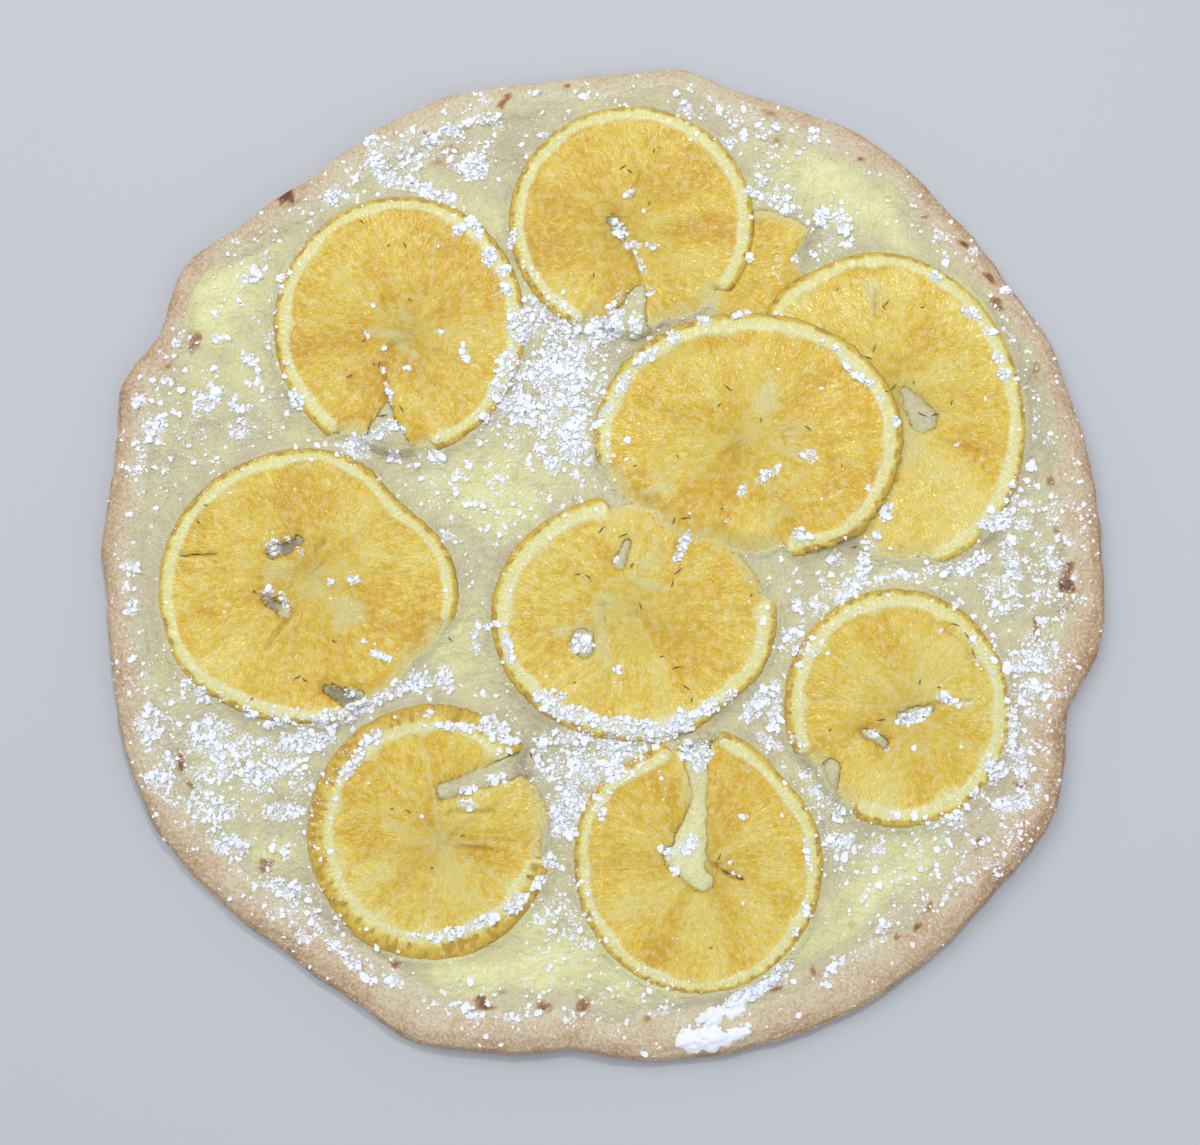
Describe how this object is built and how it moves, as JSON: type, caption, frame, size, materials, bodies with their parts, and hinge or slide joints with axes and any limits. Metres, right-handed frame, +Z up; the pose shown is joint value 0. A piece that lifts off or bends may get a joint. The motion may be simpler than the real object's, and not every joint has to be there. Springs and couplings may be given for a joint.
{
  "type": "sweet pizza with custard and orange slices",
  "caption": "Thin round sweet pizza: uneven baked dough rim, pale custard cream, baked orange slices lying flat and overlapping, dusted with clumps of icing sugar.",
  "frame": {"origin": "on the table under the middle of the pizza's outline", "axes": "+Z up, out of the topping; +Y towards the top of the picture, +X towards its right"},
  "size_m": [0.2912, 0.2912, 0.0143],
  "materials": {
    "baked_dough": "dry, floury baked wheat dough, pale on top and tan at the edge, with small brown blisters",
    "custard_cream": "soft satin custard cream, pale yellow, beige where it has dried in the oven",
    "baked_orange": "moist, translucent baked orange flesh with pale pith and a yellow dimpled peel",
    "icing_sugar": "dull white powder in specks and crumbly clumps"
  },
  "bodies": {
    "root": {"dough_base": "baked_dough", "custard_layer": "custard_cream", "orange_slice_top": "baked_orange", "orange_slice_upper_left": "baked_orange", "orange_slice_left": "baked_orange", "orange_slice_bottom_left": "baked_orange", "orange_slice_bottom": "baked_orange", "orange_slice_lower_right": "baked_orange", "orange_slice_upper_right": "baked_orange", "orange_slice_centre": "baked_orange", "orange_slice_centre_right": "baked_orange", "orange_scrap": "baked_orange"}
  },
  "joints": []
}
